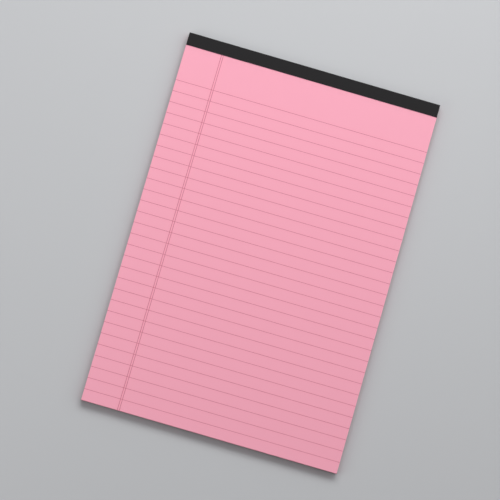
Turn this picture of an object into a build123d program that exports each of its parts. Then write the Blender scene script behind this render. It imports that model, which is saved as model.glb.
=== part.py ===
from build123d import *
from math import floor
import os

os.makedirs("parts", exist_ok=True)

# A ruled writing pad bound along its head, lying on its back with the writing face up, in millimetres.
# The origin is the middle of its footprint on the desk. +Z points out of the writing face, +Y towards
# the taped head and +X to the writer's right.

# Sheets: a leaf that tears off below the perforation, and the bound stub above it
sheet_width = 210.0
tear_off_length = 297.0
stub_length = 11.0
sheet_count = 50
sheet_thickness = 0.10
leaf_gap = 0.02
leaf_gap_depth = 0.10

# Chipboard behind the sheets
board_thickness = 1.0

# Binding tape: one strip folded over the head, lapping onto the face and the back
tape_thickness = 0.20
face_lap = 10.5
back_lap = 10.5
fold_radius = 0.4

# Perforation: a row of short cuts through every sheet
perforation_pitch = 2.0
perforation_cut = 1.3
perforation_width = 0.15

# Printed ruling, which soaks into the top sheet
ink_depth = 0.04
feint_width = 0.30
feint_pitch = 9.24
first_line_drop = 29.2
least_foot_space = 8.0
margin_width = 0.40
margin_gap = 1.6
margin_offset = 29.7
margin_under_tape = 2.0

# Staples of flat wire through the stub and the board, under the tape
staple_count = 3
staple_side_inset = 35.0
staple_head_inset = 5.2
staple_crown = 13.0
clinch_length = 5.0
wire_width = 0.7
wire_thickness = 0.5
wire_bend = 0.6
staple_clearance = 0.03

# Levels, from the desk up
board_back_z = tape_thickness
board_front_z = board_back_z + board_thickness
pages_thickness = sheet_count * sheet_thickness
page_face_z = board_front_z + pages_thickness
stack_thickness = board_thickness + pages_thickness
stack_middle_z = board_back_z + stack_thickness / 2

# Lines across the pad, from the foot up to the head
sheet_length = tear_off_length + stub_length
pad_length = sheet_length + tape_thickness
foot_y = -pad_length / 2
head_y = foot_y + sheet_length
sheet_middle_y = (foot_y + head_y) / 2
perforation_y = head_y - stub_length
face_tape_edge_y = head_y - face_lap
left_x = -sheet_width / 2

# The cuts of the perforation, one row right across the stub's lower edge
cut_count = floor((sheet_width - perforation_cut) / perforation_pitch) + 1
with BuildPart() as perforation:
    with BuildSketch(Plane.XY.offset(board_front_z)):
        with Locations((0, perforation_y)):
            with GridLocations(perforation_pitch, perforation_width, cut_count, 1):
                Rectangle(perforation_cut, perforation_width)
    extrude(amount=pages_thickness)

# Two margin lines, from just under the tape down to the foot
margin_top_y = face_tape_edge_y + margin_under_tape
margin_length = margin_top_y - foot_y
margin_x = left_x + margin_offset + margin_gap / 2
with BuildPart() as margin_ruling:
    with BuildSketch(Plane.XY.offset(page_face_z)):
        with Locations((margin_x, (margin_top_y + foot_y) / 2)):
            with GridLocations(margin_gap, margin_length, 2, 1):
                Rectangle(margin_width, margin_length)
    extrude(amount=-ink_depth)
    add(perforation.part, mode=Mode.SUBTRACT)

# Feint lines from side to side, as many as fit above the foot, broken where the margin lines cross
writing_length = tear_off_length - first_line_drop - least_foot_space
line_count = floor(writing_length / feint_pitch) + 1
first_line_y = perforation_y - first_line_drop
with BuildPart() as feint_ruling:
    with BuildSketch(Plane.XY.offset(page_face_z)):
        with Locations([(0, first_line_y - row * feint_pitch) for row in range(line_count)]):
            Rectangle(sheet_width, feint_width)
    extrude(amount=-ink_depth)
    add(margin_ruling.part, mode=Mode.SUBTRACT)

# A staple: the crown lies level with the face, the legs go down through the sheets and the board,
# and their ends are clinched inwards, pressed level with the board's back
crown_z = page_face_z - wire_thickness / 2
clinch_z = board_back_z + wire_thickness / 2
leg_x = staple_crown / 2
tip_x = leg_x - clinch_length
staple_y = head_y - staple_head_inset
staple_spacing = (sheet_width - 2 * staple_side_inset) / max(staple_count - 1, 1)
staple_corners = [
    (-tip_x, clinch_z),
    (-leg_x, clinch_z),
    (-leg_x, crown_z),
    (leg_x, crown_z),
    (leg_x, clinch_z),
    (tip_x, clinch_z),
]


def bent_wire(width, thickness):
    # Flat wire of the given section, bent to a staple's form across the middle of the stub
    with BuildPart() as wire:
        with BuildLine(Plane.XZ.offset(-staple_y)) as route:
            FilletPolyline(*staple_corners, radius=wire_bend)
        with BuildSketch(Plane(route.line @ 0, x_dir=(0, 1, 0), z_dir=route.line % 0)):
            Rectangle(width, thickness)
        sweep()
    return wire.part


with BuildPart() as staples:
    with GridLocations(staple_spacing, wire_width, staple_count, 1):
        add(bent_wire(wire_width, wire_thickness))

# The room that a staple takes: the bent wire with clearance all round, and beds that leave the
# crown open to the face and the clinched ends open to the back
slot_width = wire_width + 2 * staple_clearance
slot_thickness = wire_thickness + 2 * staple_clearance
with BuildPart() as staple_room:
    add(bent_wire(slot_width, slot_thickness))
    with Locations((0, staple_y, page_face_z)):
        Box(staple_crown + slot_thickness, slot_width, wire_thickness)
    with Locations((0, staple_y, board_back_z)):
        with GridLocations(leg_x + tip_x, slot_width, 2, 1):
            Box(clinch_length + slot_thickness, slot_width, wire_thickness)

# The fine gap between each leaf and the next, open along the foot and both sides
leaf_joints = [
    Plane.XY.offset(board_front_z + leaf * sheet_thickness - leaf_gap / 2)
    for leaf in range(1, sheet_count)
]
with BuildPart() as leaf_gaps:
    with BuildSketch(*leaf_joints):
        with Locations((0, head_y)):
            Rectangle(sheet_width, sheet_length, align=(Align.CENTER, Align.MAX))
            Rectangle(
                sheet_width - 2 * leaf_gap_depth,
                sheet_length - leaf_gap_depth,
                align=(Align.CENTER, Align.MAX),
                mode=Mode.SUBTRACT,
            )
    extrude(amount=leaf_gap)

# The sheets, knocked up into one block, with the ruling let into its face
with BuildPart() as page_block:
    with BuildSketch(Plane.XY.offset(board_front_z)):
        with Locations((0, sheet_middle_y)):
            Rectangle(sheet_width, sheet_length)
    extrude(amount=pages_thickness)
    head_edges = page_block.edges().filter_by(Axis.X).group_by(Axis.Y)[-1]
    fillet(head_edges.sort_by(Axis.Z)[-1], radius=fold_radius)
    add(leaf_gaps.part, mode=Mode.SUBTRACT)
    add(margin_ruling.part, mode=Mode.SUBTRACT)
    add(feint_ruling.part, mode=Mode.SUBTRACT)
    add(perforation.part, mode=Mode.SUBTRACT)
    with GridLocations(staple_spacing, slot_width, staple_count, 1):
        add(staple_room.part, mode=Mode.SUBTRACT)

# The chipboard, cut together with the sheets
with BuildPart() as backing_board:
    with BuildSketch(Plane.XY.offset(board_back_z)):
        with Locations((0, sheet_middle_y)):
            Rectangle(sheet_width, sheet_length)
    extrude(amount=board_thickness)
    head_edges = backing_board.edges().filter_by(Axis.X).group_by(Axis.Y)[-1]
    fillet(head_edges.sort_by(Axis.Z)[0], radius=fold_radius)
    with GridLocations(staple_spacing, slot_width, staple_count, 1):
        add(staple_room.part, mode=Mode.SUBTRACT)

# The tape's section: the outside of the fold, less the stack that it is folded over
half_fold = stack_thickness / 2 + tape_thickness
with BuildPart() as binding_tape:
    with BuildSketch(Plane.YZ.offset(left_x)) as outside:
        with Locations((head_y + tape_thickness, stack_middle_z)):
            Rectangle(face_lap + tape_thickness, half_fold, align=(Align.MAX, Align.MIN))
            Rectangle(back_lap + tape_thickness, half_fold, align=(Align.MAX, Align.MAX))
        fillet(outside.vertices().group_by(Axis.X)[-1], radius=fold_radius + tape_thickness)
    extrude(amount=sheet_width)
    with BuildSketch(Plane.YZ.offset(left_x)) as inside:
        with Locations((head_y, stack_middle_z)):
            Rectangle(sheet_length, stack_thickness, align=(Align.MAX, Align.CENTER))
        fillet(inside.vertices().group_by(Axis.X)[-1], radius=fold_radius)
    extrude(amount=sheet_width, mode=Mode.SUBTRACT)

page_block.part.label = "page_block"
backing_board.part.label = "backing_board"
binding_tape.part.label = "binding_tape"
staples.part.label = "staples"
feint_ruling.part.label = "feint_ruling"
margin_ruling.part.label = "margin_ruling"

export_step(page_block.part, "parts/page_block.step")
export_step(backing_board.part, "parts/backing_board.step")
export_step(binding_tape.part, "parts/binding_tape.step")
export_step(staples.part, "parts/staples.step")
export_step(feint_ruling.part, "parts/feint_ruling.step")
export_step(margin_ruling.part, "parts/margin_ruling.step")
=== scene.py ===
import math

import bmesh
import bpy
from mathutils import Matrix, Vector, noise


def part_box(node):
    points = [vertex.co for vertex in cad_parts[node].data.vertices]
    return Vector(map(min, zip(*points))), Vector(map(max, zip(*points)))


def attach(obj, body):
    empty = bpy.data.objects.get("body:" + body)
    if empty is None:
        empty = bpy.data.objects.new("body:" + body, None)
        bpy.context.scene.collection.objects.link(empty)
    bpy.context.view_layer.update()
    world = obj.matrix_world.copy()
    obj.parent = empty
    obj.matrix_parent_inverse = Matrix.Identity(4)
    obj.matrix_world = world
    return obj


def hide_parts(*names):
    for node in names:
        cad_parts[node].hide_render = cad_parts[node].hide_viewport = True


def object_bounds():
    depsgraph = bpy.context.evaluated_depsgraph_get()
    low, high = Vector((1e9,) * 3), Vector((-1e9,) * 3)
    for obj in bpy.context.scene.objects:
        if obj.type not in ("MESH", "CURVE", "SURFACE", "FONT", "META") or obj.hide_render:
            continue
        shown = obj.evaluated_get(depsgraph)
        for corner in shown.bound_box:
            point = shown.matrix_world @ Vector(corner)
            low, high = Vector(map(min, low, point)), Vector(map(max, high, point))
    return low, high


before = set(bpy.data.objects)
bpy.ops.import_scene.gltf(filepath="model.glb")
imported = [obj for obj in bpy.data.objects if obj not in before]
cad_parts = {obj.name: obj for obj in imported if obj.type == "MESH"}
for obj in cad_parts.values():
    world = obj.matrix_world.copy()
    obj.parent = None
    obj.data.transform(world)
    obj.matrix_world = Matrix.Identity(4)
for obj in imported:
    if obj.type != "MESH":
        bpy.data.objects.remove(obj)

cadBox = [list(corner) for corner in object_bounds()]
mm = 0.001

# where the pad's parts lie, read from the frame
pageLow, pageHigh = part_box("page_block")
tapeLow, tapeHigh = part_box("binding_tape")
stapleLow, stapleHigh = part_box("staples")
print("frame read: pad", [round(side / mm, 1) for side in Vector(cadBox[1]) - Vector(cadBox[0])], "mm")


# small helpers for node trees

def addNode(tree, kind, at=(0, 0), **values):
    node = tree.nodes.new(kind)
    node.location = at
    for name, value in values.items():
        setattr(node, name, value)
    return node


def setInputs(node, **values):
    for name, value in values.items():
        node.inputs[name.replace("_", " ")].default_value = value
    return node


def join(tree, source, target):
    tree.links.new(source, target)


def mathNode(tree, operation, first, second=0.0, at=(0, 0), clamp=False):
    node = addNode(tree, "ShaderNodeMath", at, operation=operation, use_clamp=clamp)
    for socket, value in zip(node.inputs, (first, second)):
        if isinstance(value, (int, float)):
            socket.default_value = value
        else:
            join(tree, value, socket)
    return node.outputs[0]


def vectorMath(tree, operation, first, second, at=(0, 0)):
    node = addNode(tree, "ShaderNodeVectorMath", at, operation=operation)
    for socket, value in zip(node.inputs, (first, second)):
        if isinstance(value, tuple):
            socket.default_value = value
        else:
            join(tree, value, socket)
    return node.outputs[0]


# small helpers for materials

def newMaterial(name, roughness, specular):
    material = bpy.data.materials.new(name)
    material.use_nodes = True
    tree = material.node_tree
    shader = tree.nodes["Principled BSDF"]
    shader.location = (900, 0)
    tree.nodes["Material Output"].location = (1200, 0)
    shader.inputs["Roughness"].default_value = roughness
    shader.inputs["Specular IOR Level"].default_value = specular
    place = addNode(tree, "ShaderNodeTexCoord", (-900, 0))
    return material, tree, shader, place.outputs["Object"]


def useGroup(tree, group, vector, at=(0, 0), **values):
    node = addNode(tree, "ShaderNodeGroup", at, node_tree=group)
    join(tree, vector, node.inputs["Vector"])
    return setInputs(node, **values)


def tint(tree, factor, base, colour, at=(0, 0)):
    # the base, a plain colour or another node's, mixed towards a colour by a mask
    mix = addNode(tree, "ShaderNodeMix", at, data_type="RGBA")
    join(tree, factor, mix.inputs["Factor"])
    if isinstance(base, tuple):
        mix.inputs["A"].default_value = (*base, 1)
    else:
        join(tree, base, mix.inputs["A"])
    mix.inputs["B"].default_value = (*colour, 1)
    return mix.outputs["Result"]


def bumpFrom(tree, shader, height, strength, distance, at=(0, 0)):
    bump = addNode(tree, "ShaderNodeBump", at)
    setInputs(bump, Strength=strength, Distance=distance)
    join(tree, height, bump.inputs["Height"])
    join(tree, bump.outputs["Normal"], shader.inputs["Normal"])


def dress(node, material):
    # gives a CAD node its material, in every slot that it has
    if not node.data.materials:
        node.data.materials.append(material)
    for index in range(len(node.data.materials)):
        node.data.materials[index] = material


# small helpers for pieces

def emptyItem(name):
    item = bpy.data.objects.new(name, bpy.data.meshes.new(name))
    bpy.context.collection.objects.link(item)
    return item


def newTree(name, sockets):
    # a Geometry Nodes tree with named inputs, and one geometry in and out
    tree = bpy.data.node_groups.new(name, "GeometryNodeTree")
    tree.interface.new_socket("Geometry", in_out="INPUT", socket_type="NodeSocketGeometry")
    for label, kind in sockets.items():
        tree.interface.new_socket(label, in_out="INPUT", socket_type="NodeSocket" + kind)
    tree.interface.new_socket("Geometry", in_out="OUTPUT", socket_type="NodeSocketGeometry")
    entry = addNode(tree, "NodeGroupInput", (-1600, 0))
    exitNode = addNode(tree, "NodeGroupOutput", (2400, 0))
    return tree, entry, exitNode


def runTree(item, tree, **values):
    # sets the modifier's inputs by identifier, then turns its result into the object's own mesh
    modifier = item.modifiers.new("build", "NODES")
    modifier.node_group = tree
    for socket in tree.interface.items_tree:
        label = socket.name.replace(" ", "_")
        if socket.item_type == "SOCKET" and socket.in_out == "INPUT" and label in values:
            modifier[socket.identifier] = values[label]
    bpy.context.view_layer.update()
    graph = bpy.context.evaluated_depsgraph_get()
    result = bpy.data.meshes.new_from_object(item.evaluated_get(graph))
    item.modifiers.remove(modifier)
    source = item.data
    item.data = result
    bpy.data.meshes.remove(source)
    return item


def finishPiece(piece, node):
    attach(piece, "root")
    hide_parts(node)
    return piece


# shader groups: effects that several of the pad's surfaces share

effects = {
    "noiseRoughness": 0.55,
    "fibreLong": 3.2,      # a fibre is drawn out this far along its way
    "fibreWide": 0.8,      # and this far across it
    "fleckReach": 0.42,    # from a fleck's middle to its rim, as a share of its size
    "fleckRim": 4.0,       # how hard the rim is
    "streakLong": 40.0,    # a streak is drawn out this far
    "streakFloor": 0.36,   # noise below this leaves no streak
    "streakGain": 3.6,
}


def startGroup(name, inputs, outputs):
    group = bpy.data.node_groups.new(name, "ShaderNodeTree")
    group.interface.new_socket("Vector", in_out="INPUT", socket_type="NodeSocketVector")
    for label, value in inputs.items():
        socket = group.interface.new_socket(label, in_out="INPUT", socket_type="NodeSocketFloat")
        socket.default_value = value
    for label in outputs:
        group.interface.new_socket(label, in_out="OUTPUT", socket_type="NodeSocketFloat")
    entry = addNode(group, "NodeGroupInput", (-1000, 0))
    exitNode = addNode(group, "NodeGroupOutput", (800, 0))
    return group, entry, exitNode


def stretchedNoise(group, entry, size, stretch, detail, at):
    # noise of a size in metres, drawn out by a factor along each axis
    length = addNode(group, "ShaderNodeVectorMath", (at[0] - 600, at[1]), operation="SCALE")
    length.inputs[0].default_value = stretch
    join(group, entry.outputs[size], length.inputs["Scale"])
    scaled = vectorMath(group, "DIVIDE", entry.outputs["Vector"], length.outputs[0], (at[0] - 400, at[1]))
    texture = addNode(group, "ShaderNodeTexNoise", at)
    setInputs(texture, Scale=1.0, Detail=detail, Roughness=effects["noiseRoughness"])
    join(group, scaled, texture.inputs["Vector"])
    return texture.outputs["Fac"]


def makePaperFibre():
    # matted fibres lying both ways, over the cloudy look that light gives a sheet
    group, entry, exitNode = startGroup(
        "paperFibre", {"Fibre Size": 0.35 * mm, "Cloud Size": 9 * mm}, ["Fibre", "Cloud"]
    )
    long, wide = effects["fibreLong"], effects["fibreWide"]
    along = stretchedNoise(group, entry, "Fibre Size", (long, wide, 1.0), detail=3.0, at=(-200, 200))
    across = stretchedNoise(group, entry, "Fibre Size", (wide, long, 1.0), detail=3.0, at=(-200, -50))
    cloud = stretchedNoise(group, entry, "Cloud Size", (1.0, 1.0, 1.0), detail=2.0, at=(-200, -300))
    fibre = mathNode(group, "ADD", along, across, (100, 100))
    join(group, mathNode(group, "MULTIPLY", fibre, 0.5, (300, 100)), exitNode.inputs["Fibre"])
    join(group, cloud, exitNode.inputs["Cloud"])
    return group


def makeSpeckle():
    # flecks of another stock, scattered at random: Amount is the share of cells that hold one
    group, entry, exitNode = startGroup("speckle", {"Size": 1.2 * mm, "Amount": 0.2}, ["Fleck"])
    scale = addNode(group, "ShaderNodeVectorMath", (-600, 0), operation="SCALE")
    join(group, entry.outputs["Vector"], scale.inputs[0])
    join(group, mathNode(group, "DIVIDE", 1.0, entry.outputs["Size"], (-800, -150)), scale.inputs["Scale"])
    cells = addNode(group, "ShaderNodeTexVoronoi", (-400, 0))
    setInputs(cells, Scale=1.0)
    join(group, scale.outputs[0], cells.inputs["Vector"])
    split = addNode(group, "ShaderNodeSeparateColor", (-200, 100))
    join(group, cells.outputs["Color"], split.inputs[0])
    chosen = mathNode(group, "LESS_THAN", split.outputs[0], entry.outputs["Amount"], (0, 100))
    middle = mathNode(group, "SUBTRACT", effects["fleckReach"], cells.outputs["Distance"], (0, -100))
    soft = mathNode(group, "MULTIPLY", middle, effects["fleckRim"], (200, -100), clamp=True)
    join(group, mathNode(group, "MULTIPLY", chosen, soft, (400, 0)), exitNode.inputs["Fleck"])
    return group


def makeGapShadeAndLayerStreaks():
    # long level streaks on an upright cut side, and none on a flat face: on the paper they are painted
    # shade of the gaps between the leaves, on the board its layers
    group, entry, exitNode = startGroup("gapShadeAndLayerStreaks", {"Streak Size": 0.5 * mm}, ["Streak"])
    long = effects["streakLong"]
    streak = stretchedNoise(group, entry, "Streak Size", (long, long, 1.0), detail=3.0, at=(-200, 100))
    lifted = mathNode(group, "SUBTRACT", streak, effects["streakFloor"], (0, 100))
    sharp = mathNode(group, "MULTIPLY", lifted, effects["streakGain"], (200, 100), clamp=True)
    facing = addNode(group, "ShaderNodeNewGeometry", (-600, -200))
    parts = addNode(group, "ShaderNodeSeparateXYZ", (-400, -200))
    join(group, facing.outputs["True Normal"], parts.inputs[0])
    level = mathNode(group, "ABSOLUTE", parts.outputs["Z"], at=(-200, -200))
    upright = mathNode(group, "SUBTRACT", 1.0, level, (0, -200))
    join(group, mathNode(group, "MULTIPLY", sharp, upright, (500, 0)), exitNode.inputs["Streak"])
    return group


paperFibre = makePaperFibre()
speckle = makeSpeckle()
gapShadeAndLayerStreaks = makeGapShadeAndLayerStreaks()
print("shader groups made")


# paper: pink leaves, each a shade of its own, with painted shade of the gaps between them in streaks on the
# cut sides

paper = {
    "colour": (0.945, 0.412, 0.525),
    "shaded": (0.922, 0.395, 0.505),
    "fibreShade": 0.5,                # how much of the shading is due to the fibres
    "cloudShade": 0.35,               # to the cloudy look
    "leafShade": 0.5,                 # and to the leaf that it is
    "trimmed": (0.66, 0.215, 0.295),  # painted shade of the gaps between the leaves, in streaks along the cut sides
    "evenStreak": 0.35,               # how much of the painted gap shade every leaf takes, whatever its own tone
    "streakSize": 0.45 * mm,
    "roughness": 0.86,
    "specular": 0.22,
    "fibreSize": 0.30 * mm,
    "cloudSize": 11 * mm,
    "fibreRelief": 0.012 * mm,
    "bump": 0.6,
}


def makePaper():
    material, tree, shader, place = newMaterial("pinkPaper", paper["roughness"], paper["specular"])
    grain = useGroup(tree, paperFibre, place, (-600, 0),
                     Fibre_Size=paper["fibreSize"], Cloud_Size=paper["cloudSize"])
    leaf = addNode(tree, "ShaderNodeAttribute", (-600, -250), attribute_name="leafShade")
    soft = mathNode(tree, "MULTIPLY", grain.outputs["Fibre"], paper["fibreShade"], (-350, 50))
    broad = mathNode(tree, "MULTIPLY", grain.outputs["Cloud"], paper["cloudShade"], (-350, -100))
    own = mathNode(tree, "MULTIPLY", leaf.outputs["Fac"], paper["leafShade"], (-350, -250))
    both = mathNode(tree, "ADD", soft, broad, (-150, 0))
    shade = mathNode(tree, "ADD", both, own, (50, -50))
    face = tint(tree, shade, paper["colour"], paper["shaded"], (350, 100))
    # the cut sides take painted shade of the gaps between the leaves, in streaks, and more of it on a leaf
    # of darker tone
    gapShadeAndLayers = useGroup(tree, gapShadeAndLayerStreaks, place, (-600, -450), Streak_Size=paper["streakSize"])
    uneven = mathNode(tree, "ADD", leaf.outputs["Fac"], paper["evenStreak"], (-350, -400))
    paintedGapShade = mathNode(tree, "MULTIPLY", gapShadeAndLayers.outputs["Streak"], uneven, (-150, -400), clamp=True)
    join(tree, tint(tree, paintedGapShade, face, paper["trimmed"], (600, 100)), shader.inputs["Base Color"])
    bumpFrom(tree, shader, grain.outputs["Fibre"], paper["bump"], paper["fibreRelief"], (600, -250))
    return material


pinkPaper = makePaper()


# leaves: fifty loose sheets, each with a row of cuts, knocked up and trimmed to the block's outline

leaves = {
    "count": 50,
    "gap": 0.012 * mm,       # air between two leaves
    "inkStand": 0.015 * mm,  # how far the ink stands above the top leaf
    "cut": 1.3 * mm,         # length of one cut
    "cutWidth": 0.15 * mm,
    "cutPitch": 2.0 * mm,
    "stub": 11.0 * mm,       # from the head to the row of cuts
    "fold": 0.4 * mm,        # rounding of the stack's edge under the tape
    "shift": 0.045 * mm,     # how far a leaf may lie to one side
    "drift": 0.09 * mm,      # and a batch of leaves together
    "batch": 6.0,            # leaves to a batch
    "turn": 0.005,           # degrees that a leaf may be turned
    "weld": 0.001 * mm,      # corners closer than this are one
    "seed": 7,
}


def makeSheet(tree, entry):
    # one flat leaf, its head edge on the X axis, with the cuts left open, and its thickness pushed up
    outline = addNode(tree, "GeometryNodeCurvePrimitiveQuadrilateral", (-1300, 400))
    join(tree, entry.outputs["Width"], outline.inputs["Width"])
    join(tree, entry.outputs["Length"], outline.inputs["Height"])
    down = addNode(tree, "ShaderNodeCombineXYZ", (-1300, 200))
    join(tree, mathNode(tree, "MULTIPLY", entry.outputs["Length"], -0.5, (-1450, 200)), down.inputs["Y"])
    hung = addNode(tree, "GeometryNodeTransform", (-1100, 400))
    join(tree, outline.outputs[0], hung.inputs["Geometry"])
    join(tree, down.outputs[0], hung.inputs["Translation"])

    cut = addNode(tree, "GeometryNodeCurvePrimitiveQuadrilateral", (-1100, 0))
    join(tree, entry.outputs["Cut Length"], cut.inputs["Width"])
    join(tree, entry.outputs["Cut Width"], cut.inputs["Height"])
    spaces = mathNode(tree, "SUBTRACT", entry.outputs["Cuts"], 1.0, (-1450, -200))
    rowLength = mathNode(tree, "MULTIPLY", spaces, entry.outputs["Cut Pitch"], (-1300, -200))
    first = addNode(tree, "ShaderNodeCombineXYZ", (-1100, -200))
    join(tree, mathNode(tree, "MULTIPLY", rowLength, -0.5, (-1200, -200)), first.inputs["X"])
    join(tree, mathNode(tree, "MULTIPLY", entry.outputs["Stub"], -1.0, (-1200, -350)), first.inputs["Y"])
    step = addNode(tree, "ShaderNodeCombineXYZ", (-1100, -400))
    join(tree, entry.outputs["Cut Pitch"], step.inputs["X"])
    row = addNode(tree, "GeometryNodeMeshLine", (-900, -200))
    join(tree, entry.outputs["Cuts"], row.inputs["Count"])
    join(tree, first.outputs[0], row.inputs["Start Location"])
    join(tree, step.outputs[0], row.inputs["Offset"])
    cuts = addNode(tree, "GeometryNodeInstanceOnPoints", (-700, 0))
    join(tree, row.outputs[0], cuts.inputs["Points"])
    join(tree, cut.outputs[0], cuts.inputs["Instance"])
    realCuts = addNode(tree, "GeometryNodeRealizeInstances", (-550, 0))
    join(tree, cuts.outputs[0], realCuts.inputs[0])

    lines = addNode(tree, "GeometryNodeJoinGeometry", (-400, 200))
    join(tree, hung.outputs[0], lines.inputs[0])
    join(tree, realCuts.outputs[0], lines.inputs[0])
    flat = addNode(tree, "GeometryNodeFillCurve", (-250, 200), mode="TRIANGLES")
    join(tree, lines.outputs[0], flat.inputs["Curve"])
    raised = addNode(tree, "GeometryNodeExtrudeMesh", (-100, 300), mode="FACES")
    setInputs(raised, Individual=False, Offset=(0, 0, 1))
    join(tree, flat.outputs[0], raised.inputs["Mesh"])
    join(tree, entry.outputs["Thickness"], raised.inputs["Offset Scale"])
    under = addNode(tree, "GeometryNodeFlipFaces", (-100, 100))
    join(tree, flat.outputs[0], under.inputs[0])
    both = addNode(tree, "GeometryNodeJoinGeometry", (50, 200))
    join(tree, raised.outputs["Mesh"], both.inputs[0])
    join(tree, under.outputs[0], both.inputs[0])
    closed = addNode(tree, "GeometryNodeMergeByDistance", (200, 200))
    setInputs(closed, Distance=leaves["weld"])
    join(tree, both.outputs[0], closed.inputs[0])
    return closed.outputs[0]


def pileUp(tree, entry, sheet):
    # copies of the leaf from the start upwards, each batch and each leaf a little to one side
    rise = addNode(tree, "ShaderNodeCombineXYZ", (0, -200))
    join(tree, entry.outputs["Pitch"], rise.inputs["Z"])
    line = addNode(tree, "GeometryNodeMeshLine", (200, -100))
    join(tree, entry.outputs["Count"], line.inputs["Count"])
    join(tree, entry.outputs["Start"], line.inputs["Start Location"])
    join(tree, rise.outputs[0], line.inputs["Offset"])

    # a batch drifts one way, by slow noise up the pile
    place = addNode(tree, "GeometryNodeInputPosition", (-400, -500))
    height = addNode(tree, "ShaderNodeSeparateXYZ", (-200, -500))
    join(tree, place.outputs[0], height.inputs[0])
    batchHeight = mathNode(tree, "MULTIPLY", entry.outputs["Pitch"], entry.outputs["Batch"], (-200, -650))
    batchNumber = mathNode(tree, "DIVIDE", height.outputs["Z"], batchHeight, (0, -500))
    drifting = addNode(tree, "ShaderNodeTexNoise", (200, -500), noise_dimensions="1D")
    setInputs(drifting, Scale=1.0, Detail=1.0)
    join(tree, batchNumber, drifting.inputs["W"])
    spread = vectorMath(tree, "SUBTRACT", drifting.outputs["Color"], (0.5, 0.5, 0.5), (400, -500))
    driftRoom = addNode(tree, "ShaderNodeCombineXYZ", (400, -700))
    join(tree, entry.outputs["Drift"], driftRoom.inputs["X"])
    join(tree, entry.outputs["Drift"], driftRoom.inputs["Y"])
    drifted = vectorMath(tree, "MULTIPLY", spread, driftRoom.outputs[0], (600, -500))

    # and each leaf lies where it likes, within its room
    loose = addNode(tree, "FunctionNodeRandomValue", (200, -900), data_type="FLOAT_VECTOR")
    loose.inputs[0].default_value = (-1, -1, 0)
    loose.inputs[1].default_value = (1, 1, 0)
    join(tree, entry.outputs["Seed"], loose.inputs["Seed"])
    shiftRoom = addNode(tree, "ShaderNodeCombineXYZ", (200, -1100))
    join(tree, entry.outputs["Shift"], shiftRoom.inputs["X"])
    join(tree, entry.outputs["Shift"], shiftRoom.inputs["Y"])
    shifted = vectorMath(tree, "MULTIPLY", loose.outputs[0], shiftRoom.outputs[0], (400, -900))
    moved = addNode(tree, "GeometryNodeSetPosition", (800, -100))
    join(tree, line.outputs[0], moved.inputs["Geometry"])
    join(tree, vectorMath(tree, "ADD", drifted, shifted, (700, -700)), moved.inputs["Offset"])

    way = addNode(tree, "FunctionNodeRandomValue", (600, -1100), data_type="FLOAT")
    way.inputs[2].default_value = -1.0
    join(tree, entry.outputs["Seed"], way.inputs["Seed"])
    angle = mathNode(tree, "MULTIPLY", way.outputs[1], entry.outputs["Turn"], (750, -1000))
    turned = addNode(tree, "ShaderNodeCombineXYZ", (900, -1000))
    join(tree, angle, turned.inputs["Z"])
    copies = addNode(tree, "GeometryNodeInstanceOnPoints", (1000, 0))
    join(tree, moved.outputs[0], copies.inputs["Points"])
    join(tree, sheet, copies.inputs["Instance"])
    join(tree, turned.outputs[0], copies.inputs["Rotation"])

    # the shade that the paper's material reads
    tone = addNode(tree, "FunctionNodeRandomValue", (1000, -400), data_type="FLOAT")
    join(tree, entry.outputs["Seed"], tone.inputs["Seed"])
    mark = addNode(tree, "GeometryNodeStoreNamedAttribute", (1200, 0), data_type="FLOAT", domain="INSTANCE")
    setInputs(mark, Name="leafShade")
    join(tree, copies.outputs[0], mark.inputs["Geometry"])
    join(tree, tone.outputs[1], mark.inputs["Value"])
    real = addNode(tree, "GeometryNodeRealizeInstances", (1400, 0))
    join(tree, mark.outputs[0], real.inputs[0])
    return real.outputs[0]


def trimPile(tree, entry, pile):
    # the cutter takes off what stands out of the outline, and the head edge follows the fold
    place = addNode(tree, "GeometryNodeInputPosition", (1200, -300))
    above = vectorMath(tree, "MAXIMUM", place.outputs[0], entry.outputs["Lowest"], (1400, -300))
    inside = vectorMath(tree, "MINIMUM", above, entry.outputs["Highest"], (1550, -300))
    parts = addNode(tree, "ShaderNodeSeparateXYZ", (1700, -300))
    join(tree, inside, parts.inputs[0])
    limits = addNode(tree, "ShaderNodeSeparateXYZ", (1400, -600))
    join(tree, entry.outputs["Highest"], limits.inputs[0])

    # the fold is a quarter round: past its foot, the head edge draws back with the height
    fold = entry.outputs["Fold"]
    foldLow = mathNode(tree, "SUBTRACT", limits.outputs["Z"], fold, (1550, -500))
    climbed = mathNode(tree, "SUBTRACT", parts.outputs["Z"], foldLow, (1700, -500))
    rise = mathNode(tree, "MAXIMUM", climbed, 0.0, (1850, -500))
    foldSquare = mathNode(tree, "MULTIPLY", fold, fold, (1700, -800))
    riseSquare = mathNode(tree, "MULTIPLY", rise, rise, (1850, -800))
    reachSquare = mathNode(tree, "SUBTRACT", foldSquare, riseSquare, (2000, -700))
    neverLess = mathNode(tree, "MAXIMUM", reachSquare, 0.0, (2100, -700))
    reach = mathNode(tree, "SQRT", neverLess, at=(2200, -700))
    foldStart = mathNode(tree, "SUBTRACT", limits.outputs["Y"], fold, (1850, -650))
    headLimit = mathNode(tree, "ADD", foldStart, reach, (2200, -500))

    whole = addNode(tree, "ShaderNodeCombineXYZ", (2100, -300))
    join(tree, parts.outputs["X"], whole.inputs["X"])
    join(tree, mathNode(tree, "MINIMUM", parts.outputs["Y"], headLimit, (2000, -300)), whole.inputs["Y"])
    join(tree, parts.outputs["Z"], whole.inputs["Z"])
    trimmed = addNode(tree, "GeometryNodeSetPosition", (1700, 0))
    join(tree, pile, trimmed.inputs["Geometry"])
    join(tree, whole.outputs[0], trimmed.inputs["Position"])
    return trimmed.outputs[0]


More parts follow.
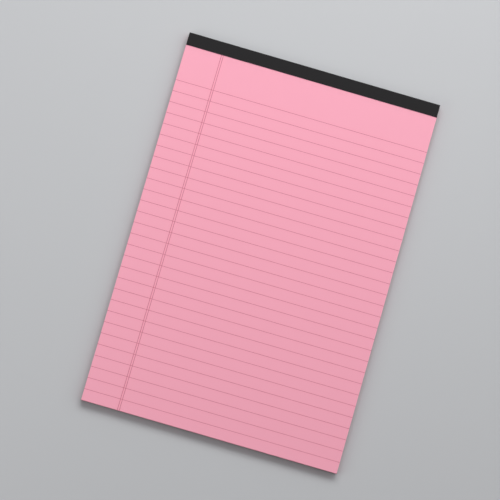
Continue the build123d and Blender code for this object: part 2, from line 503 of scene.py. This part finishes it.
def makeLeafTree():
    tree, entry, exitNode = newTree("leafPile", {
        "Count": "Int", "Start": "Vector", "Pitch": "Float",
        "Width": "Float", "Length": "Float", "Thickness": "Float",
        "Cuts": "Int", "Cut Length": "Float", "Cut Width": "Float", "Cut Pitch": "Float", "Stub": "Float",
        "Shift": "Float", "Drift": "Float", "Batch": "Float", "Turn": "Float", "Seed": "Int",
        "Lowest": "Vector", "Highest": "Vector", "Fold": "Float", "Material": "Material",
    })
    pile = trimPile(tree, entry, pileUp(tree, entry, makeSheet(tree, entry)))
    flat = addNode(tree, "GeometryNodeSetShadeSmooth", (1900, 0))
    setInputs(flat, Shade_Smooth=False)
    join(tree, pile, flat.inputs["Geometry"])
    painted = addNode(tree, "GeometryNodeSetMaterial", (2100, 0))
    join(tree, flat.outputs[0], painted.inputs["Geometry"])
    join(tree, entry.outputs["Material"], painted.inputs["Material"])
    join(tree, painted.outputs[0], exitNode.inputs[0])
    return tree


def makeLeaves():
    tree = makeLeafTree()
    width = pageHigh.x - pageLow.x
    pitch = (pageHigh.z - leaves["inkStand"] - pageLow.z) / leaves["count"]
    values = {
        "Pitch": pitch, "Width": width, "Length": pageHigh.y - pageLow.y,
        "Thickness": pitch - leaves["gap"],
        "Cuts": math.floor((width - leaves["cut"]) / leaves["cutPitch"]) + 1,
        "Cut_Length": leaves["cut"], "Cut_Width": leaves["cutWidth"], "Cut_Pitch": leaves["cutPitch"],
        "Stub": leaves["stub"], "Batch": leaves["batch"], "Seed": leaves["seed"],
        "Lowest": pageLow, "Highest": pageHigh, "Fold": leaves["fold"], "Material": pinkPaper,
    }
    under = {"Shift": leaves["shift"], "Drift": leaves["drift"], "Turn": math.radians(leaves["turn"])}
    still = {"Shift": 0.0, "Drift": 0.0, "Turn": 0.0}
    piles = (("leafStack", leaves["count"] - 1, 0, under), ("topLeaf", 1, leaves["count"] - 1, still))
    for name, count, below, looseness in piles:
        start = Vector((0.0, pageHigh.y, pageLow.z + leaves["gap"] + below * pitch))
        pile = runTree(emptyItem(name), tree, Count=count, Start=start, **values, **looseness)
        finishPiece(pile, "page_block")
        print(name, len(pile.data.polygons), "faces")


makeLeaves()


# ink: the printed lines keep their CAD strips and take the paper's grain

inks = {
    "feint_ruling": {"name": "feintInk", "colour": (0.538, 0.097, 0.144), "thin": (0.570, 0.118, 0.168)},
    "margin_ruling": {"name": "marginInk", "colour": (0.550, 0.122, 0.178), "thin": (0.586, 0.145, 0.204)},
}


def makeInk(name, colour, thin):
    material, tree, shader, place = newMaterial(name, paper["roughness"], paper["specular"])
    grain = useGroup(tree, paperFibre, place, (-600, 0), Fibre_Size=paper["fibreSize"])
    join(tree, tint(tree, grain.outputs["Fibre"], colour, thin, (0, 100)), shader.inputs["Base Color"])
    bumpFrom(tree, shader, grain.outputs["Fibre"], paper["bump"], paper["fibreRelief"], (300, -250))
    return material


for node, ink in inks.items():
    dress(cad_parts[node], makeInk(**ink))
print("ink dressed")


# tape: one strip of charcoal paper tape, folded over the head and pressed down over the staples

tape = {
    "thickness": 0.20 * mm,
    "foldRadius": 0.60 * mm,   # outside of the two folds
    "foldSteps": 6,            # faces round each fold
    "cutRound": 0.05 * mm,     # softened upper corner of each lap's cut edge
    "sharpAngle": 32,          # degrees past which an edge stays sharp
    "wave": 0.035 * mm,        # how far the face dips here and there
    "waveLength": 16 * mm,     # along the head
    "waveAcross": 2.0,         # a wave is so many times shorter across the strip
    "fineWave": 5,             # and a finer wave so many times shorter each way
    "fineShare": 0.15,         # depth of the finer waves, as a share of the broad ones
    "fineOffset": 9 * mm,      # keeps the two kinds apart
    "step": 2.0 * mm,          # spacing of the mesh along the head
    "endStep": 0.4 * mm,       # near the end of a staple's crown
    "endReach": 2.0 * mm,      # how near that is
    "lapStep": 0.8 * mm,       # spacing across a lap
    "fineStep": 0.2 * mm,      # near a staple
    "trough": 0.07 * mm,       # hollow that the wire presses round itself
    "troughWidth": 1.1 * mm,
    "wireStand": 0.75,         # share of the hollow that the wire fills
    "deepest": 0.75,           # share of the thickness that no dip goes past
    "crown": 13.0 * mm,
    "clinch": 5.0 * mm,
    "colour": (0.0094, 0.0088, 0.0094),
    "worn": (0.0162, 0.0152, 0.0162),
    "rubbed": (0.046, 0.043, 0.045),   # along the folds
    "spineRub": 0.25,                  # how much of that the flat between the folds takes
    "roughness": 0.66,
    "specular": 0.15,
    "grainSize": 0.22 * mm,
    "cloudSize": 5 * mm,
    "grainRelief": 0.02 * mm,
    "bump": 0.8,
}

stapleY = (stapleLow.y + stapleHigh.y) / 2
stapleWire = stapleHigh.y - stapleLow.y
stapleReach = stapleHigh.x - tape["crown"] / 2
stapleXs = [-stapleReach, 0.0, stapleReach]


def stops(low, high, step, spots, spread, fine):
    # places from low to high, a step apart, and finer within the spread of each spot
    places = []
    here = low
    while here < high - fine / 2:
        places.append(here)
        near = any(abs(here - spot) < spread for spot in spots)
        here += fine if near else step
    return places + [high]


def foldedSection():
    # across the strip, from the face lap's edge round the head to the back lap's edge:
    # the outer face's point, the way it faces, and how much it is rubbed there
    radius, steps = tape["foldRadius"], tape["foldSteps"]
    turnY = tapeHigh.y - radius
    nearWire = 2 * tape["troughWidth"]
    lap = stops(tapeLow.y, turnY, tape["lapStep"], [stapleY], nearWire, tape["fineStep"])
    lap.insert(1, tapeLow.y + tape["cutRound"])
    corner = [math.radians(90 - 90 / steps * index) for index in range(1, steps)]
    spine = stops(tapeLow.z + radius, tapeHigh.z - radius, tape["lapStep"], [], 0.0, tape["fineStep"])
    section = [((y, tapeHigh.z), (0.0, 1.0), 0.0) for y in lap]
    for angle in corner:
        way = (math.cos(angle), math.sin(angle))
        section.append(((turnY + radius * way[0], tapeHigh.z - radius + radius * way[1]), way, 1.0))
    section += [((tapeHigh.y, z), (1.0, 0.0), tape["spineRub"]) for z in reversed(spine)]
    for angle in reversed(corner):
        way = (math.cos(angle), -math.sin(angle))
        section.append(((turnY + radius * way[0], tapeLow.z + radius + radius * way[1]), way, 1.0))
    section += [((y, tapeLow.z), (0.0, -1.0), 0.0) for y in reversed(lap)]
    return section


def wireDent(x, y, facing):
    # a shallow trough along each wire under the tape, with the wire itself standing in its middle
    inner, outer = 0.0, tape["crown"] / 2
    if facing < 0:
        inner = outer - tape["clinch"]
    along = min(abs(x - spot) for spot in stapleXs)
    past = max(inner - along, along - outer, 0.0)
    hollow = math.exp(-((y - stapleY) / tape["troughWidth"]) ** 2 - (past / tape["troughWidth"]) ** 2)
    onWire = 1.0 - min(max((abs(y - stapleY) - stapleWire / 2) / tape["fineStep"], 0.0), 1.0)
    bar = onWire if past == 0.0 else 0.0
    return tape["trough"] * hollow * (1.0 - tape["wireStand"] * bar)


def tapeDip(x, point, way):
    # how far the outer face lies inside its box: pressed dents and the strip's own unevenness
    travel = point[0] + (tapeHigh.z - point[1])
    ripple = noise.noise(Vector((x, travel * tape["waveAcross"], 0.0)) / tape["waveLength"])
    fine = noise.noise(Vector((x, travel, tape["fineOffset"])) / (tape["waveLength"] / tape["fineWave"]))
    dip = tape["wave"] * (0.5 + 0.5 * ripple + tape["fineShare"] * fine)
    if abs(way[1]) == 1.0:
        dip = min(dip + wireDent(x, point[0], way[1]), tape["deepest"] * tape["thickness"])
    return max(dip, 0.0)


def makeTape(material):
    section = foldedSection()
    crownEnds = [spot + side * tape["crown"] / 2 for spot in stapleXs for side in (-1, 1)]
    rows = stops(tapeLow.x, tapeHigh.x, tape["step"], crownEnds, tape["endReach"], tape["endStep"])
    depth = tape["thickness"]
    mesh = bmesh.new()
    rubbing = mesh.verts.layers.float.new("foldRub")
    rings = []
    for x in rows:
        outside, inside = [], []
        for index, (point, way, rub) in enumerate(section):
            dip = tapeDip(x, point, way)
            if index in (0, len(section) - 1):
                dip += tape["cutRound"]
            outer = mesh.verts.new((x, point[0] - way[0] * dip, point[1] - way[1] * dip))
            inner = mesh.verts.new((x, point[0] - way[0] * depth, point[1] - way[1] * depth))
            outer[rubbing] = rub
            outside.append(outer)
            inside.append(inner)
        rings.append(outside + inside[::-1])
    size = len(rings[0])
    for ring, following in zip(rings, rings[1:]):
        for index in range(size):
            after = (index + 1) % size
            mesh.faces.new((ring[index], ring[after], following[after], following[index]))
    for ring in (rings[0], rings[-1]):
        for index in range(len(section) - 1):
            mesh.faces.new((ring[index], ring[index + 1], ring[size - 2 - index], ring[size - 1 - index]))
    bmesh.ops.recalc_face_normals(mesh, faces=mesh.faces[:])
    item = emptyItem("foldedTape")
    mesh.to_mesh(item.data)
    mesh.free()
    item.data.shade_smooth()
    item.data.set_sharp_from_angle(angle=math.radians(tape["sharpAngle"]))
    item.data.materials.append(material)
    return item


def makeTapeMaterial():
    material, tree, shader, place = newMaterial("charcoalTape", tape["roughness"], tape["specular"])
    grain = useGroup(tree, paperFibre, place, (-600, 0),
                     Fibre_Size=tape["grainSize"], Cloud_Size=tape["cloudSize"])
    plain = tint(tree, grain.outputs["Fibre"], tape["colour"], tape["worn"], (-100, 100))
    fold = addNode(tree, "ShaderNodeAttribute", (-600, -300), attribute_name="foldRub")
    patchy = mathNode(tree, "MULTIPLY", fold.outputs["Fac"], grain.outputs["Cloud"], (-350, -250))
    rubbed = mathNode(tree, "MULTIPLY", patchy, grain.outputs["Fibre"], (-150, -250))
    join(tree, tint(tree, rubbed, plain, tape["rubbed"], (300, 100)), shader.inputs["Base Color"])
    bumpFrom(tree, shader, grain.outputs["Fibre"], tape["bump"], tape["grainRelief"], (300, -250))
    return material


foldedTape = finishPiece(makeTape(makeTapeMaterial()), "binding_tape")
print("tape folded,", len(foldedTape.data.polygons), "faces")


# board: grey-brown chipboard with flecks of the stock it was pulped from

board = {
    "colour": (0.335, 0.285, 0.228),
    "pale": (0.415, 0.362, 0.298),
    "fibreSize": 0.6 * mm,
    "fleck": (0.150, 0.125, 0.105),
    "fleckSize": 1.6 * mm,
    "fleckShare": 0.12,
    "trimmed": (0.190, 0.158, 0.125),  # streaks along the cut sides
    "streakSize": 0.22 * mm,
    "roughness": 0.9,
    "specular": 0.2,
    "relief": 0.03 * mm,
    "bump": 0.8,
}


def makeBoardMaterial():
    material, tree, shader, place = newMaterial("chipboard", board["roughness"], board["specular"])
    grain = useGroup(tree, paperFibre, place, (-600, 0), Fibre_Size=board["fibreSize"])
    dots = useGroup(tree, speckle, place, (-600, -300), Size=board["fleckSize"], Amount=board["fleckShare"])
    base = tint(tree, grain.outputs["Fibre"], board["colour"], board["pale"], (-100, 100))
    flecked = tint(tree, dots.outputs["Fleck"], base, board["fleck"], (200, 100))
    gapShadeAndLayers = useGroup(tree, gapShadeAndLayerStreaks, place, (-600, -600), Streak_Size=board["streakSize"])
    streaked = tint(tree, gapShadeAndLayers.outputs["Streak"], flecked, board["trimmed"], (500, 100))
    join(tree, streaked, shader.inputs["Base Color"])
    bumpFrom(tree, shader, grain.outputs["Fibre"], board["bump"], board["relief"], (600, -250))
    return material


dress(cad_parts["backing_board"], makeBoardMaterial())
print("board dressed")


# staples: galvanised wire, shut in under the tape

staple = {
    "colour": (0.56, 0.57, 0.58),
    "dull": (0.44, 0.45, 0.47),
    "cloudSize": 2 * mm,
    "roughness": 0.38,
    "specular": 0.5,
}


def makeStapleMaterial():
    material, tree, shader, place = newMaterial("stapleWire", staple["roughness"], staple["specular"])
    shader.inputs["Metallic"].default_value = 1.0
    grain = useGroup(tree, paperFibre, place, (-600, 0), Cloud_Size=staple["cloudSize"])
    zinc = tint(tree, grain.outputs["Cloud"], staple["colour"], staple["dull"], (0, 100))
    join(tree, zinc, shader.inputs["Base Color"])
    return material


dress(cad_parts["staples"], makeStapleMaterial())
print("staples dressed")


# floor: a plain grey table top that fades to the backdrop's tone far from the pad

floor = {
    "colour": (0.540, 0.548, 0.564),
    "reach": 6.0,
    "squares": 8,        # to a side
    "fadeStart": 0.30,   # from the pad's middle
    "fadeEnd": 0.80,
    "roughness": 0.85,
    "specular": 0.06,
}


def directlySeen(tree, at):
    # 1 for what the camera sees, by itself or in a reflection or through glass
    path = addNode(tree, "ShaderNodeLightPath", at)
    mirrored = mathNode(tree, "ADD", path.outputs["Is Glossy Ray"],
                        path.outputs["Is Transmission Ray"], (at[0] + 200, at[1] - 150))
    return mathNode(tree, "ADD", path.outputs["Is Camera Ray"], mirrored, (at[0] + 400, at[1]), clamp=True)


def makeFloor():
    item = emptyItem("floor")
    mesh = bmesh.new()
    bmesh.ops.create_grid(
        mesh, x_segments=floor["squares"], y_segments=floor["squares"], size=floor["reach"]
    )
    mesh.to_mesh(item.data)
    mesh.free()
    item.location.z = cadBox[0][2]
    material, tree, shader, place = newMaterial("tableTop", floor["roughness"], floor["specular"])
    shader.inputs["Base Color"].default_value = (*floor["colour"], 1)
    glow = addNode(tree, "ShaderNodeEmission", (900, -300))
    setInputs(glow, Color=(*floor["colour"], 1), Strength=1.0)
    far = addNode(tree, "ShaderNodeVectorMath", (-600, -200), operation="LENGTH")
    join(tree, place, far.inputs[0])
    fade = addNode(tree, "ShaderNodeMapRange", (-300, -200), interpolation_type="SMOOTHSTEP")
    setInputs(fade, From_Min=floor["fadeStart"], From_Max=floor["fadeEnd"])
    join(tree, far.outputs["Value"], fade.inputs["Value"])
    seen = mathNode(tree, "MULTIPLY", fade.outputs[0], directlySeen(tree, (-700, -450)), (0, -300))
    mix = addNode(tree, "ShaderNodeMixShader", (1100, 100))
    join(tree, seen, mix.inputs[0])
    join(tree, shader.outputs[0], mix.inputs[1])
    join(tree, glow.outputs[0], mix.inputs[2])
    join(tree, mix.outputs[0], tree.nodes["Material Output"].inputs["Surface"])
    item.data.materials.append(material)


makeFloor()


# light: a broad softbox beyond the head, a large weaker one at the right, a small one at the left of
# the foot, and a sky that is brightest at the head

light = {
    "softboxes": {
        # bearing and height in degrees, from the pad's head towards its right and from the table up;
        # distance and size in metres, power in watts
        "keyBox": {
            "bearing": -6.0, "height": 47.5, "distance": 1.12, "width": 1.02, "tall": 0.54, "power": 8.95,
        },
        "rightBox": {
            "bearing": 62.0, "height": 39.0, "distance": 1.92, "width": 2.36, "tall": 1.60, "power": 12.9,
        },
        "leftBox": {
            "bearing": -120.0, "height": 33.0, "distance": 1.02, "width": 0.39, "tall": 0.41, "power": 1.97,
        },
    },
    "skyLevel": 0.223,
    "skyLean": (0.07, 0.21, 0.0),  # how much the sky gains towards +X, +Y and overhead
}


def makeSoftbox(name, bearing, height, distance, width, tall, power):
    turn, lift = math.radians(bearing), math.radians(height)
    away = Vector((math.sin(turn) * math.cos(lift), math.cos(turn) * math.cos(lift), math.sin(lift)))
    lamp = bpy.data.lights.new(name, "AREA")
    lamp.shape = "RECTANGLE"
    lamp.size, lamp.size_y = width, tall
    lamp.energy = power
    item = bpy.data.objects.new(name, lamp)
    bpy.context.collection.objects.link(item)
    item.location = away * distance
    item.rotation_mode = "QUATERNION"
    item.rotation_quaternion = away.to_track_quat("Z", "Y")
    item.visible_camera = False


def makeSky():
    world = bpy.data.worlds.new("sky")
    bpy.context.scene.world = world
    world.use_nodes = True
    tree = world.node_tree
    sky = tree.nodes["Background"]
    sky.inputs["Color"].default_value = (1, 1, 1, 1)
    place = addNode(tree, "ShaderNodeTexCoord", (-900, 0))
    lean = addNode(tree, "ShaderNodeVectorMath", (-700, 0), operation="DOT_PRODUCT")
    join(tree, place.outputs["Generated"], lean.inputs[0])
    lean.inputs[1].default_value = light["skyLean"]
    strength = mathNode(tree, "ADD", lean.outputs["Value"], light["skyLevel"], (-300, 0))
    join(tree, strength, sky.inputs["Strength"])
    plain = addNode(tree, "ShaderNodeBackground", (0, -200))
    setInputs(plain, Color=(*floor["colour"], 1), Strength=1.0)
    mix = addNode(tree, "ShaderNodeMixShader", (300, 0))
    join(tree, directlySeen(tree, (-500, 300)), mix.inputs[0])
    join(tree, sky.outputs[0], mix.inputs[1])
    join(tree, plain.outputs[0], mix.inputs[2])
    join(tree, mix.outputs[0], tree.nodes["World Output"].inputs["Surface"])


for name, box in light["softboxes"].items():
    makeSoftbox(name, **box)
makeSky()


# camera: high above, looking down from a little below the foot

camera = {
    "place": (-30.5 * mm, -301.4 * mm, 2136.4 * mm),
    "turn": (7.53, -2.75, 15.99),   # degrees about X, Y and Z
    "focalPixels": 2700.0,
    "framePixels": 500.0,
    "sensor": 36.0,                 # millimetres across
    "farthest": 50.0,               # metres that it sees
}


def makeCamera():
    data = bpy.data.cameras.new("camera")
    data.sensor_width = camera["sensor"]
    data.lens = camera["focalPixels"] / camera["framePixels"] * camera["sensor"]
    data.clip_end = camera["farthest"]
    item = bpy.data.objects.new("camera", data)
    bpy.context.collection.objects.link(item)
    item.location = camera["place"]
    item.rotation_mode = "XYZ"
    item.rotation_euler = [math.radians(angle) for angle in camera["turn"]]
    bpy.context.scene.camera = item


makeCamera()
bpy.context.scene.view_settings.view_transform = "Standard"
print("stage, light and camera set")
